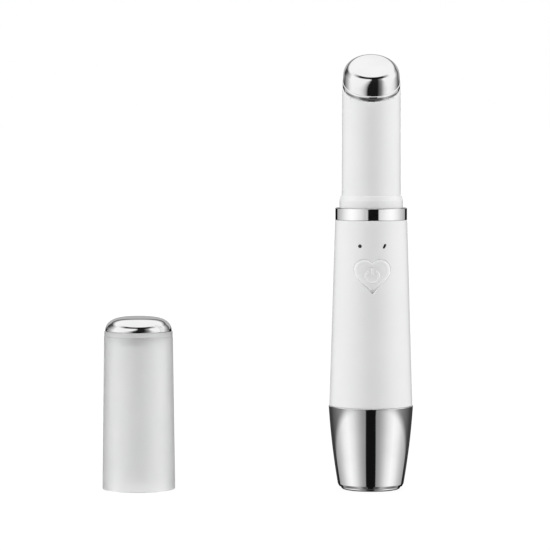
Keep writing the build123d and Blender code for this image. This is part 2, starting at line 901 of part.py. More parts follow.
nodes = {
    "bottom_plug": bottom_plug(),
    "base_sleeve": base_sleeve(),
    "handle_shell": handle_shell(),
    "chrome_band": chrome_band(),
    "upper_housing": upper_housing(),
    "massage_head": massage_head(),
    "heater_pad": heater_pad(),
    "temperature_sensor": temperature_sensor(),
    "electrode_contact": electrode_contact(),
    "motor_holder": motor_holder(),
    "motor_can": motor_can(),
    "motor_end_cap": motor_end_cap(),
    "motor_shaft": motor_shaft(),
    "eccentric_weight": eccentric_weight(),
    "inner_frame": inner_frame(),
    "battery_cell": battery_cell(),
    "battery_pad": battery_pad(),
    "main_board": main_board(),
    "board_screws": board_screws(),
    "power_button": power_button(),
    "power_switch": power_switch(),
    "switch_stem": switch_stem(),
    "left_led": led(-lamp_offset),
    "right_led": led(lamp_offset),
    "left_light_pipe": light_pipe(Circle(round_window_radius), -lamp_offset),
    "right_light_pipe": light_pipe(slanted_window(), lamp_offset),
    "step_up_coil": step_up_coil(),
    "control_chip": chip(chip_size, chip_height),
    "charge_chip": chip(charge_chip_size, charge_chip_height),
    "board_capacitors": board_capacitors(),
    "socket_shell": socket_shell(),
    "socket_tongue": socket_tongue(),
    "socket_board": socket_board(),
    "socket_screws": socket_screws(),
    "socket_leads": socket_leads(),
    "battery_leads": battery_leads(),
    "motor_leads": motor_leads(),
    "heater_leads": heater_leads(),
    "sensor_leads": sensor_leads(),
    "electrode_lead": electrode_lead(),
    "cap_shell": at_cap * cap_shell(),
    "cap_ring": at_cap * cap_ring(),
    "cap_dome": at_cap * cap_dome(),
}

for name, shape in nodes.items():
    export_step(shape, f"parts/{name}.step")
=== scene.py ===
import json
from math import atan2, cos, hypot, pi, radians, sin, sqrt, tan

import bmesh
import bpy
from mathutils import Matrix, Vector


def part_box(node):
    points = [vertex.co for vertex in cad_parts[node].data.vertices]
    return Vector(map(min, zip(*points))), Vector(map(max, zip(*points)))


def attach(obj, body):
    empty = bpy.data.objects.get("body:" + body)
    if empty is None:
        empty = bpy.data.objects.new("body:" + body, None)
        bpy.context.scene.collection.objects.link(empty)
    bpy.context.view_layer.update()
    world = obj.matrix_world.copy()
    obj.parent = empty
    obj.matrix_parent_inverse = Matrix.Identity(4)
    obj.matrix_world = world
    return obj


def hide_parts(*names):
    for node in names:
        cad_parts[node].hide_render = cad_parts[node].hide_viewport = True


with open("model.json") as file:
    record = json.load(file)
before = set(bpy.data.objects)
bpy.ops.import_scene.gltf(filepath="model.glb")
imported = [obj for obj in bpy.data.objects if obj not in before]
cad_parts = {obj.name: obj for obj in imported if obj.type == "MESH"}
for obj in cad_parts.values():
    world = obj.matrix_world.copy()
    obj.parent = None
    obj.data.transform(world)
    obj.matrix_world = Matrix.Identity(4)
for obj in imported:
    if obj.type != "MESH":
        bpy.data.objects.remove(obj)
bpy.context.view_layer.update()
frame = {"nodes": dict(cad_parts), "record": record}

# A slim facial wand that stands on its base, and its pull-off cap beside it.
# Shapes are drawn in millimetres and shrunk to metres as each piece is finished.
MM = 0.001
ROUND_STEPS = 240
HALF_TURN = 180.0

# Points closer than this are one point
MERGE = 0.0005
# A point this close to a wall lies on it
ON_WALL = 0.2
# A row this far from an edge keeps the shading beside it even
SUPPORT = 0.3


def corners(node):
    """Lowest and highest corner of a node, in millimetres."""
    low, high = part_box(node)
    return low / MM, high / MM


sleeve_low, sleeve_high = corners("base_sleeve")
handle_low, handle_high = corners("handle_shell")
band_low, band_high = corners("chrome_band")
housing_low, housing_high = corners("upper_housing")
head_low = corners("massage_head")[0]
cap_low, cap_high = corners("cap_shell")
ring_low, ring_high = corners("cap_ring")
dome_low, dome_high = corners("cap_dome")

# Base
sleeve_foot_radius = 10.9
sleeve_foot_bevel = 0.45
sleeve_foot_height = 0.8
sleeve_bow = 0.352
sleeve_wall = 1.2
sleeve_bore = 9.4
sleeve_floor = 2.0
sleeve_bore_round = 0.15
sleeve_bevel_round = 0.12
sleeve_foot_round = 0.5
sleeve_rim_round = 0.2
band_round = 0.18

# Handle
handle_spigot_radius = 12.05
handle_top_radius = 11.85
handle_edge_round = 0.25
spigot_edge_round = 0.3
cavity_bottom_radius = 10.75
cavity_top_radius = 10.25
wall_rows_low = 28.5
wall_rows_high = 88.0
window_rows_low = 62.0
window_rows_high = 83.0

# Heart button and its symbol
button_height = 71.0
lobe_radius = 3.25
lobe_offset = 2.58
lobe_rise = 2.22
cheek_radius = 4.35
side_angle = 42.5
notch_round = 0.5
tip_round = 0.35
button_gap = 0.06
heart_patch = (8.2, 8.0)
# Steps of the raised bead on the button's edge, as inset from the outline and depth below the handle's skin
button_edge = (
    (1.6, 0.0), (1.4, -0.01), (1.2, -0.04), (1.0, -0.07), (0.8, -0.085), (0.6, -0.07), (0.42, -0.02),
    (0.27, 0.05), (0.14, 0.13), (0.05, 0.22), (0.0, 0.34), (0.0, 1.2),
)
tip_groove = 0.85
tip_groove_share = 0.42
dish_radius = 4.6
dish_depth = 0.3
flange_reach = 0.8
flange_gap = 0.15
flange_thickness = 0.7
window_edge = 0.25
symbol_radius = 2.15
symbol_stroke = 0.8
symbol_gap = 80.0
symbol_end_turn = 8.0
symbol_relief = 0.32
symbol_bar_bottom = 0.7
symbol_bar_top = 2.3

# Lamp windows
lamp_height = 80.8
lamp_side = 4.0
round_window = 0.575
slot_length = 1.6
slot_width = 0.7
slot_turn = 62.0
lamp_round = 0.1
window_fit = 0.03
window_sink = 0.06
lamp_patch = (1.6, 1.5)
pipe_side = 1.5
pipe_back_radius = 7.2

# Upper housing
foot_radius = 10.2
foot_bore_round = 0.15
foot_round = 0.2
press_fit = 0.05
seat_foot_round = 0.1
seat_straight = 2.4
seat_round = 0.5
collar_height = 4.0
collar_radius = 10.05
collar_round = 0.2
tube_bottom_radius = 9.7
tube_top_radius = 9.55
tube_bore = 8.2
tube_foot_round = 0.12
tube_rim_round = 0.25
tube_steps = 12
blank_spare = 2.0

# Slanted head
slant = radians(28.0)
cut_height = 132.6
face_height = 141.35
head_radius = 9.3
head_round = 3.8
head_skin = 0.8
crown_steps = 32
lip_height = 1.6
lip_radius = 9.52
lip_draft = 3.5
lip_foot_round = 0.35
lip_top_round = 0.1
wall_draw_in = 0.3
wall_draw_height = 4.1
skirt_radius = 8.15
skirt_bore = 7.35

# Cap
cap_centre = (cap_low.x + cap_high.x) / 2
cap_mouth_radius = (cap_high.x - cap_low.x) / 2
cap_top_radius = 11.35
cap_wall = 1.5
cap_bore = 10.5
cap_seat_depth = 4.0
cap_seat_round = 2.0
mouth_inner_round = 0.3
mouth_outer_round = 0.35
cap_top_round = 0.15
cap_inner_round = 0.1
ring_radius = (ring_high.x - ring_low.x) / 2
ring_bore = 9.4
ring_spigot_round = 0.1
ring_foot_round = 0.2
ring_top_round = 0.12
dome_radius = (dome_high.x - dome_low.x) / 2
dome_wall = 0.8
dome_side_power = 3.6
dome_top_power = 2.2

# Studio, with angles in degrees and levels where 0 is black and 1 is white
strip_offset = 1.9
flag_blur = 3.0
darkest_mirrored = 0.007
floor_level = 0.65
floor_glow = 1.12
floor_glow_share = 0.78
floor_half_side = 20.0

# Camera, in metres
camera_spot = (-0.0317, -0.960, 0.1245)
camera_target = (-0.0317, 0.0, 0.0708)
camera_lens = 190.7


class Finish:
    """A procedural finish on object coordinates."""

    def __init__(self, name):
        self.material = bpy.data.materials.new(name)
        self.material.use_nodes = True
        self.tree = self.material.node_tree
        self.shader = self.tree.nodes["Principled BSDF"]
        self.place = self.tree.nodes.new("ShaderNodeTexCoord").outputs["Object"]

    def node(self, kind, inputs=(), **settings):
        made = self.tree.nodes.new("ShaderNode" + kind)
        for name, value in settings.items():
            setattr(made, name, value)
        for name, value in dict(inputs).items():
            if isinstance(value, bpy.types.NodeSocket):
                self.tree.links.new(value, made.inputs[name])
            else:
                made.inputs[name].default_value = value
        return made

    def set(self, **values):
        """Sets or links the shader's sockets, named with underscores for spaces."""
        for name, value in values.items():
            socket = self.shader.inputs[name.replace("_", " ")]
            if isinstance(value, bpy.types.NodeSocket):
                self.tree.links.new(value, socket)
            else:
                socket.default_value = value
        return self

    def noise(self, size, detail=2.0, stretch=(1, 1, 1)):
        """Noise whose lumps are about this many millimetres."""
        place = self.node("Mapping", {"Vector": self.place, "Scale": stretch}).outputs["Vector"]
        inputs = {"Vector": place, "Scale": 1 / (size * MM), "Detail": detail}
        return self.node("TexNoise", inputs).outputs["Fac"]

    def between(self, value, low, high, start=0.3, end=0.7):
        """A value spread over a range."""
        inputs = {"Value": value, "From Min": start, "From Max": end, "To Min": low, "To Max": high}
        return self.node("MapRange", inputs).outputs["Result"]

    def colours(self, value, first, second, start=0.35, end=0.65):
        """Two colours blended by a value."""
        ramp = self.node("ValToRGB", {"Fac": value})
        for stop, place, colour in zip(ramp.color_ramp.elements, (start, end), (first, second)):
            stop.position = place
            stop.color = (*colour, 1.0)
        return ramp.outputs["Color"]

    def bump(self, height, depth):
        """Relief of a depth in millimetres."""
        inputs = {"Height": height, "Distance": depth * MM, "Strength": 1.0}
        return self.set(Normal=self.node("Bump", inputs).outputs["Normal"])


def chrome():
    """Bright plating with a faint unevenness in its polish."""
    made = Finish("bright_plating")
    made.set(Base_Color=made.colours(made.noise(9), (0.86, 0.86, 0.865), (0.9, 0.9, 0.9)), Metallic=1.0)
    made.set(Roughness=made.between(made.noise(2.5, 4), 0.035, 0.06))
    return made.bump(made.noise(5), 0.002)


def white_plastic():
    """Glossy white moulding with a soft orange-peel surface."""
    made = Finish("gloss_white_moulding")
    made.set(Base_Color=made.colours(made.noise(14), (0.865, 0.867, 0.87), (0.885, 0.885, 0.885)))
    made.set(Roughness=made.between(made.noise(3, 4), 0.19, 0.25), IOR=1.6)
    return made.bump(made.noise(1.4), 0.003)


def frosted_plastic():
    """Translucent moulding, frosted inside."""
    made = Finish("frosted_moulding")
    made.set(Base_Color=made.colours(made.noise(8), (0.87, 0.875, 0.875), (0.89, 0.89, 0.89)))
    made.set(Roughness=made.between(made.noise(1.2, 4), 0.31, 0.37), Transmission_Weight=0.76, IOR=1.45)
    return made.bump(made.noise(0.5, 4), 0.003)


def plain(name, first, second, roughness=0.5, lump=1.5, relief=0.01, **sockets):
    """A finish whose colour, polish and relief all vary a little."""
    made = Finish(name)
    made.set(Base_Color=made.colours(made.noise(lump, 3), first, second), **sockets)
    made.set(Roughness=made.between(made.noise(lump / 2, 4), roughness * 0.85, roughness * 1.15))
    return made.bump(made.noise(lump / 3, 3), relief)


def brushed_steel():
    """Plated steel with fine marks along its length."""
    made = Finish("plated_steel")
    made.set(Base_Color=made.colours(made.noise(0.6, 3, (1, 1, 0.1)), (0.6, 0.6, 0.62), (0.74, 0.74, 0.75)))
    made.set(Roughness=made.between(made.noise(0.4, 4, (1, 1, 0.1)), 0.18, 0.34), Metallic=1.0)
    return made.bump(made.noise(0.3, 2, (1, 1, 0.08)), 0.004)


def circuit_board():
    """Green solder mask over faint square tracks."""
    made = Finish("solder_masked_board")
    spread = made.node("Mapping", {"Vector": made.place, "Scale": (1 / (1.4 * MM),) * 3}).outputs["Vector"]
    tracks = made.node("TexBrick", {"Vector": spread, "Scale": 1.0, "Mortar Size": 0.1}).outputs["Fac"]
    made.set(Base_Color=made.colours(tracks, (0.02, 0.2, 0.07), (0.04, 0.34, 0.12), 0.2, 0.8))
    made.set(Roughness=made.between(made.noise(1.2), 0.25, 0.4))
    return made.bump(tracks, 0.02)


def wound_coil():
    """Enamelled copper wire, wound side by side along the drum."""
    made = Finish("enamelled_winding")
    inputs = {"Vector": made.place, "Scale": 1 / (1.6 * MM), "Distortion": 0.0}
    turns = made.node("TexWave", inputs, bands_direction="Y").outputs["Fac"]
    made.set(Base_Color=made.colours(turns, (0.3, 0.1, 0.03), (0.72, 0.33, 0.12)))
    made.set(Roughness=made.between(made.noise(0.8), 0.25, 0.4), Metallic=0.8)
    return made.bump(turns, 0.08)


finishes = {
    "chrome": chrome(),
    "white_plastic": white_plastic(),
    "frosted_plastic": frosted_plastic(),
    "smoked_window": plain("smoked_window", (0.008, 0.008, 0.01), (0.02, 0.02, 0.022), 0.12, 2.0, 0.001),
    "heater_film": plain("amber_film", (0.6, 0.28, 0.04), (0.75, 0.42, 0.08), 0.3),
    "black_epoxy": plain("moulded_epoxy", (0.012, 0.012, 0.013), (0.03, 0.03, 0.03), 0.55, 0.6, 0.02),
    "spring_bronze": plain("spring_bronze", (0.62, 0.36, 0.16), (0.72, 0.45, 0.22), 0.25, Metallic=1.0),
    "grey_rubber": plain("soft_grey_rubber", (0.13, 0.13, 0.135), (0.2, 0.2, 0.2), 0.75, 0.8, 0.02),
    "bright_steel": brushed_steel(),
    "heavy_brass": plain("turned_brass", (0.6, 0.42, 0.14), (0.72, 0.54, 0.22), 0.25, Metallic=1.0),
    "black_plastic": plain("black_moulding", (0.015, 0.015, 0.016), (0.03, 0.03, 0.03), 0.4, 0.8),
    "stem_plastic": plain("red_plunger", (0.45, 0.05, 0.03), (0.6, 0.08, 0.05), 0.4, 0.8),
    "frame_plastic": plain("matt_white_frame", (0.72, 0.72, 0.7), (0.8, 0.8, 0.78), 0.5, 2.0),
    "cell_sleeve": plain("cell_shrink_sleeve", (0.03, 0.12, 0.3), (0.05, 0.18, 0.4), 0.3, 3.0),
    "foam": plain("open_foam", (0.02, 0.02, 0.02), (0.06, 0.06, 0.06), 0.9, 0.4, 0.1),
    "green_board": circuit_board(),
    "lamp_resin": plain("lamp_resin", (0.8, 0.72, 0.4), (0.9, 0.85, 0.6), 0.15, 0.5, 0.005),
    "copper_coil": wound_coil(),
    "capacitor_can": plain("drawn_can", (0.62, 0.62, 0.64), (0.75, 0.75, 0.76), 0.3, Metallic=1.0),
    "lead_red": plain("red_insulation", (0.45, 0.02, 0.015), (0.55, 0.04, 0.03), 0.4),
    "lead_white": plain("white_insulation", (0.7, 0.7, 0.7), (0.8, 0.8, 0.8), 0.4),
    "lead_black": plain("black_insulation", (0.015, 0.015, 0.015), (0.03, 0.03, 0.03), 0.4),
}


def finished(shape, name, body, slot):
    """Makes a drawn shape a piece that stands for the node of its name. Mirrors don't show the cap."""
    bmesh.ops.remove_doubles(shape, verts=shape.verts, dist=MERGE)
    bmesh.ops.recalc_face_normals(shape, faces=shape.faces)
    bmesh.ops.scale(shape, vec=(MM, MM, MM), verts=shape.verts)
    mesh = bpy.data.meshes.new(name + "_mesh")
    shape.to_mesh(mesh)
    shape.free()
    mesh.shade_smooth()
    mesh.materials.append(finishes[slot].material)
    piece = bpy.data.objects.new(name + "_piece", mesh)
    bpy.context.scene.collection.objects.link(piece)
    even = piece.modifiers.new("even_normals", "WEIGHTED_NORMAL")
    even.keep_sharp = True
    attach(piece, body)
    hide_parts(name)
    piece.visible_glossy = body != "cap"


def rounded(*points):
    """Points of a profile, where a third value is the radius that rounds that corner."""
    detail = 6
    made = []
    for index, (radius, height, *bend) in enumerate(points):
        corner = Vector((radius, height))
        if not bend:
            made.append(corner)
            continue
        back = Vector(points[index - 1][:2]) - corner
        ahead = Vector(points[(index + 1) % len(points)][:2]) - corner
        half = back.angle(ahead) / 2
        reach = bend[0] / tan(half)
        centre = corner + (back.normalized() + ahead.normalized()).normalized() * bend[0] / sin(half)
        start = corner + back.normalized() * reach - centre
        end = corner + ahead.normalized() * reach - centre
        support = 0.4 * bend[0]
        if back.length > 2 * (reach + support):
            made.append(corner + back.normalized() * (reach + support))
        made += [centre + start.slerp(end, step / detail) * bend[0] for step in range(detail + 1)]
        if ahead.length > 2 * (reach + support):
            made.append(corner + ahead.normalized() * (reach + support))
    return made


def bowed(low, high, bow, count):
    """Points from one end of a side to the other, bowed outwards in the middle."""
    low, high = Vector(low), Vector(high)
    side = high - low
    out = Vector((side.y, -side.x)).normalized()
    shares = [step / count for step in range(count + 1)]
    return [low + side * share + out * 4 * bow * share * (1 - share) for share in shares]


def turned(profile):
    """A closed profile of (radius, height) points turned about the Z axis."""
    shape = bmesh.new()
    verts = [shape.verts.new((point[0], 0, point[1])) for point in profile]
    edges = [shape.edges.new(pair) for pair in zip(verts, verts[1:] + verts[:1])]
    bmesh.ops.spin(
        shape, geom=verts + edges, cent=(0, 0, 0), axis=(0, 0, 1), angle=2 * pi, steps=ROUND_STEPS,
        use_merge=True,
    )
    bmesh.ops.remove_doubles(shape, verts=shape.verts, dist=MERGE)
    bmesh.ops.recalc_face_normals(shape, faces=shape.faces)
    return shape


def next_loop(shape, loop):
    """Extrudes a closed loop of vertices, and gives the new loop in the same order."""
    edges = [shape.edges.get(pair) for pair in zip(loop, loop[1:] + loop[:1])]
    fresh = bmesh.ops.extrude_edge_only(shape, edges=edges)["geom"]
    old = set(loop)
    partner = {}
    for vert in fresh:
        if isinstance(vert, bmesh.types.BMVert):
            for edge in vert.link_edges:
                if edge.other_vert(vert) in old:
                    partner[edge.other_vert(vert)] = vert
    return [partner[vert] for vert in loop]


def lofted(rows):
    """Rows of points, each a closed loop, joined into one skin whose ends may close to a point."""
    shape = bmesh.new()
    loop = bmesh.ops.create_circle(shape, segments=len(rows[0]), radius=1.0)["verts"]
    for index, row in enumerate(rows):
        if index:
            loop = next_loop(shape, loop)
        for vert, place in zip(loop, row):
            vert.co = place
    return shape


def arc(centre, radius, start, end, count=24):
    """Points on an arc between two angles, in degrees."""
    angles = [radians(start + (end - start) * step / count) for step in range(count + 1)]
    return [Vector((centre[0] + radius * cos(angle), centre[1] + radius * sin(angle))) for angle in angles]


def degrees_of(vector):
    """The direction of a flat vector."""
    return atan2(vector.y, vector.x) * 180 / pi


class Outline:
    """A closed outline whose left half mirrors its right. Share 0 is its bottom and share 1 or -1 its top."""

    def __init__(self, half, centre=(0.0, 0.0), turn=0.0):
        self.half = half
        self.centre = Vector(centre)
        self.turn = turn
        self.lengths = [0.0]
        for a, b in zip(half, half[1:]):
            self.lengths.append(self.lengths[-1] + (b - a).length)

    def at(self, share):
        """The point at a share of the way round, which is under 0 on the left."""
        wanted = min(abs(share), 1.0) * self.lengths[-1]
        index = max(i for i, length in enumerate(self.lengths[:-1]) if length <= wanted + 1e-9)
        a, b = self.half[index], self.half[index + 1]
        part = (wanted - self.lengths[index]) / max(self.lengths[index + 1] - self.lengths[index], 1e-9)
        point = a.lerp(b, min(part, 1.0))
        if share < 0:
            point = Vector((-point.x, point.y))
        x = point.x * cos(self.turn) - point.y * sin(self.turn)
        y = point.x * sin(self.turn) + point.y * cos(self.turn)
        return self.centre + Vector((x, y))


def heart(grow=0.0):
    """The button's outline: two lobes, a fuller cheek below each, and straight sides that meet in a tip."""
    turn = radians(side_angle)
    lobe_reach = lobe_radius + grow
    cheek_reach = cheek_radius + grow
    dip = notch_round - min(grow, 0.0)
    lobe = Vector((lobe_offset, lobe_rise))
    cheek = lobe - Vector((cheek_radius - lobe_radius, 0))
    low = cheek + Vector((cos(turn), -sin(turn))) * cheek_reach
    tip = Vector((0, low.y - low.x / tan(turn) + tip_round / sin(turn)))
    notch = Vector((0, lobe.y + sqrt((lobe_reach + dip) ** 2 - lobe.x**2)))
    notch_angle = degrees_of(notch - lobe)
    half = arc(tip, tip_round, -90, -side_angle, 8)
    half += [half[-1].lerp(low, step / 16) for step in range(1, 16)]
    half += arc(cheek, cheek_reach, -side_angle, 0, 32)
    half += arc(lobe, lobe_reach, 0, notch_angle, 40)[1:]
    half += arc(notch, dip, notch_angle - 180, -90, 8)[1:]
    return Outline(half, (0, button_height))


def round_lamp(grow=0.0):
    """The small round window on the left."""
    return Outline(arc((0, 0), round_window + grow, -90, 90), (-lamp_side, lamp_height))


def slanted_lamp(grow=0.0):
    """A short slot with round ends, leaning to the right."""
    radius = slot_width / 2 + grow
    run = (slot_length - slot_width) / 2
    half = arc((0, -run), radius, -90, 0, 10) + arc((0, run), radius, 0, 90, 10)
    return Outline(half, (lamp_side, lamp_height), radians(slot_turn - 90))


def handle_radius(height):
    """The handle's tapered outside."""
    share = (height - sleeve_high.z) / (handle_high.z - sleeve_high.z)
    return handle_high.x + (handle_top_radius - handle_high.x) * share


def cavity_radius(height):
    """The handle's tapered inside."""
    share = (height - handle_low.z) / (handle_high.z - handle_low.z)
    return cavity_bottom_radius + (cavity_top_radius - cavity_bottom_radius) * share


def on_front(point, wall, depth=0.0):
    """A point seen from the front, put on a round wall at a depth below its skin."""
    radius = wall(point.y) - depth
    return Vector((point.x, -sqrt(radius**2 - point.x**2), point.y))


def open_window(shape, wall, outline, patch_size, rings):
    """Trades a patch of a round wall's grid for rings that end on an outline, and gives its edge loop."""
    half_width, half_height = patch_size
    middle = outline.centre
    turn = atan2(middle.x, sqrt(wall(middle.y) ** 2 - middle.x**2))

    def in_patch(face):
        spot = face.calc_center_median()
        if abs(hypot(spot.x, spot.y) - wall(spot.z)) > ON_WALL or abs(spot.z - middle.y) > half_height:
            return False
        return spot.y < 0 and abs(atan2(spot.x, -spot.y) - turn) < half_width / wall(middle.y)

    patch = [face for face in shape.faces if in_patch(face)]
    open_before = {edge for edge in shape.edges if edge.is_boundary}
    bmesh.ops.delete(shape, geom=patch, context="FACES")
    rim = [edge for edge in shape.edges if edge.is_boundary and edge not in open_before]
    around = {vert for edge in rim for vert in edge.verts}
    loop = sorted(around, key=lambda vert: atan2(vert.co.x - middle.x, middle.y - vert.co.z))
    flat = [Vector((vert.co.x, vert.co.z)) for vert in loop]
    steps = [(b - a).length for a, b in zip(flat, flat[1:] + flat[:1])]
    under = [i for i, spot in enumerate(flat) if spot.y < middle.y]
    lowest = min(under, key=lambda i: abs(flat[i].x - middle.x))
    shares = [(sum(steps[:i]) - sum(steps[:lowest])) / (sum(steps) / 2) for i in range(len(flat))]
    for ring in range(1, rings + 1):
        loop = next_loop(shape, loop)
        for vert, start, share in zip(loop, flat, shares):
            vert.co = on_front(start.lerp(outline.at(share), ring / rings), wall)
    return [shape.edges.get(pair) for pair in zip(loop, loop[1:] + loop[:1])]


def even_heights(low, high, step):
    """Heights from low to high, a step apart."""
    return [low + step * count for count in range(round((high - low) / step) + 1)]


def handle_shell():
    """The tapered white handle with its heart window and lamp windows, where its rows are closer."""
    heights = even_heights(wall_rows_low, window_rows_low - 1.5, 2.0)
    heights += even_heights(window_rows_low, window_rows_high, 0.5)
    heights += even_heights(window_rows_high + 1.0, wall_rows_high, 2.0)
    outside = [Vector((handle_radius(height), height)) for height in heights]
    inside = [Vector((cavity_radius(height), height)) for height in reversed(heights)]
    edge = rounded(
        (handle_spigot_radius, handle_low.z, spigot_edge_round),
        (handle_spigot_radius, sleeve_high.z),
        (handle_high.x, sleeve_high.z, handle_edge_round),
        (handle_radius(wall_rows_low + 0.5), wall_rows_low + 0.5),
    )[:-1]
    top = rounded(
        (handle_radius(wall_rows_high), wall_rows_high),
        (handle_top_radius, handle_high.z, handle_edge_round),
        (cavity_top_radius, handle_high.z),
    )[1:]
    shape = turned(edge + outside + top + inside + [Vector((cavity_bottom_radius, handle_low.z))])
    windows = (
        (heart(button_gap), heart_patch, 8, window_edge),
        (round_lamp(window_fit), lamp_patch, 3, lamp_round),
        (slanted_lamp(window_fit), lamp_patch, 3, lamp_round),
    )
    for outline, patch_size, rings, edge_round in windows:
        rim = open_window(shape, handle_radius, outline, patch_size, rings)
        inner = open_window(shape, cavity_radius, outline, patch_size, rings)
        bmesh.ops.bridge_loops(shape, edges=rim + inner)
        bmesh.ops.bevel(
            shape, geom=rim, offset=edge_round, segments=4, profile=0.5, affect="EDGES", material=-1
        )
    finished(shape, "handle_shell", "wand", "white_plastic")


def lamp_edge(share):
    """The (inset, depth) steps of a lamp window's rounded edge, the same all round."""
    turns = [pi / 2 * step / 6 for step in range(7)]
    return [(lamp_round * (1 - sin(turn)), lamp_round * (1 - cos(turn))) for turn in turns]


def bead_edge(share):
    """The steps of the button's raised bead and side, which draw in beside a groove at the heart's tip."""
    groove = tip_groove * max(0.0, 1 - abs(share) / tip_groove_share) ** 2
    return [(inset + groove, depth) for inset, depth in button_edge]


def dish(spot):
    """How far the button is hollowed under the finger at a spot."""
    reach = min((spot - Vector((0, button_height))).length / dish_radius, 1.0)
    return dish_depth * (1 - reach**2) ** 2


def pressed_rows(outline, wall, edge_at, back_rows, count):
    """Rows of a plug that fills a window, from its middle over its edge and sides to its back.

    A back row gives its growth, its depth, its share of the way out and the wall that it follows.
    """
    shares = [2 * step / count - 1 for step in range(count)]
    middle = outline(0.0).centre
    edges = [edge_at(share) for share in shares]
    inside = [outline(-edge[0][0]).at(share) for edge, share in zip(edges, shares)]
    rows = []
    for scale in (0, 0.12, 0.25, 0.4, 0.55, 0.7, 0.82, 0.92, 0.97):
        spots = [middle.lerp(spot, scale) for spot in inside]
        rows.append([on_front(spot, wall, dish(spot)) for spot in spots])
    for steps in zip(*edges):
        spots = [outline(-inset).at(share) for (inset, depth), share in zip(steps, shares)]
        rows.append([on_front(spot, wall, depth) for spot, (inset, depth) in zip(spots, steps)])
    for grow, depth, scale, on in back_rows:
        shape = outline(grow)
        rows.append([on_front(middle.lerp(shape.at(share), scale), on, depth) for share in shares])
    return rows


def stroke(shape, line, width, relief):
    """Adds a raised, round-ended stroke along a line of points on the button's dished front."""
    around = 14
    ends = [radians(angle) for angle in (90, 65, 40, 20)]
    first = (line[0] - line[1]).normalized()
    last = (line[-1] - line[-2]).normalized()
    sections = [(line[0] + first * sin(a) * width / 2, -first, cos(a)) for a in ends]
    for index in range(len(line)):
        way = line[min(index + 1, len(line) - 1)] - line[max(index - 1, 0)]
        sections.append((line[index], way.normalized(), 1.0))
    sections += [(line[-1] + last * sin(a) * width / 2, last, cos(a)) for a in reversed(ends)]
    loop = bmesh.ops.create_circle(shape, segments=around, radius=1.0)["verts"]
    for index, (point, way, scale) in enumerate(sections):
        if index:
            loop = next_loop(shape, loop)
        across = Vector((way.y, -way.x)) * width / 2 * scale
        for step, vert in enumerate(loop):
            angle = 2 * pi * step / around
            lift = relief * sin(angle) * scale
            vert.co = on_front(point + across * cos(angle), handle_radius, dish(point) - lift)


def power_button():
    """The heart button: a beaded edge flush with the handle, and a raised open ring and bar in its dish."""
    back = flange_gap + flange_thickness
    back_rows = [
        (0, flange_gap, 1.0, cavity_radius),
        (flange_reach, flange_gap, 1.0, cavity_radius),
        (flange_reach, back, 1.0, cavity_radius),
        (0, back, 0.6, cavity_radius),
        (0, back, 0.3, cavity_radius),
        (0, back, 0.0, cavity_radius),
    ]
    shape = lofted(pressed_rows(heart, handle_radius, bead_edge, back_rows, 176))
    centre = Vector((0, button_height))
    opening = symbol_gap / 2 + symbol_end_turn
    ring = arc(centre, symbol_radius, 90 + opening, 450 - opening, 48)
    stroke(shape, ring, symbol_stroke, symbol_relief)
    bar_foot = centre + Vector((0, symbol_bar_bottom))
    bar_top = centre + Vector((0, symbol_bar_top))
    bar = [bar_foot.lerp(bar_top, step / 8) for step in range(9)]
    stroke(shape, bar, symbol_stroke, symbol_relief)
    finished(shape, "power_button", "button", "white_plastic")


def light_pipe(name, outline):
    """A dark lamp window, a little below the handle's skin."""
    def back_wall(height):
        return pipe_back_radius

    def front_wall(height):
        return handle_radius(height) - window_sink

    back_rows = [(0, pipe_side, 1.0, front_wall)] + [(0, 0, scale, back_wall) for scale in (1.0, 0.5, 0.0)]
    rows = pressed_rows(outline, front_wall, lamp_edge, back_rows, 40)
    finished(lofted(rows), name, "wand", "smoked_window")


def base_sleeve():
    """The bowed chrome sleeve. The rows nearest its edges make way for their rounds."""
    foot = sleeve_low.z + sleeve_foot_height
    floor = sleeve_low.z + sleeve_floor
    outer = bowed((sleeve_foot_radius, foot), (sleeve_high.x, sleeve_high.z), sleeve_bow, 40)
    above_floor = [point for point in reversed(outer) if point.y > floor + SUPPORT]
    inner = [Vector((point.x - sleeve_wall, point.y)) for point in above_floor]
    bottom = rounded(
        (sleeve_bore, floor),
        (sleeve_bore, sleeve_low.z, sleeve_bore_round),
        (sleeve_foot_radius - sleeve_foot_bevel, sleeve_low.z, sleeve_bevel_round),
        (sleeve_foot_radius, foot, sleeve_foot_round),
        tuple(outer[3]),
    )[:-1]
    rim = rounded(
        tuple(outer[-3]),
        (sleeve_high.x, sleeve_high.z, sleeve_rim_round),
        (sleeve_high.x - sleeve_wall, sleeve_high.z, sleeve_rim_round),
        tuple(inner[2]),
    )[1:-1]
    shape = turned(bottom + outer[3:-1] + rim + inner[2:] + [Vector((inner[-1].x, floor))])
    finished(shape, "base_sleeve", "wand", "chrome")


def chrome_band():
    """The ring between the handle and the upper housing."""
    bore = foot_radius + press_fit
    profile = rounded(
        (bore, band_low.z),
        (band_high.x, band_low.z, band_round),
        (band_high.x, band_high.z, band_round),
        (bore, band_high.z),
    )
    finished(turned(profile), "chrome_band", "wand", "chrome")


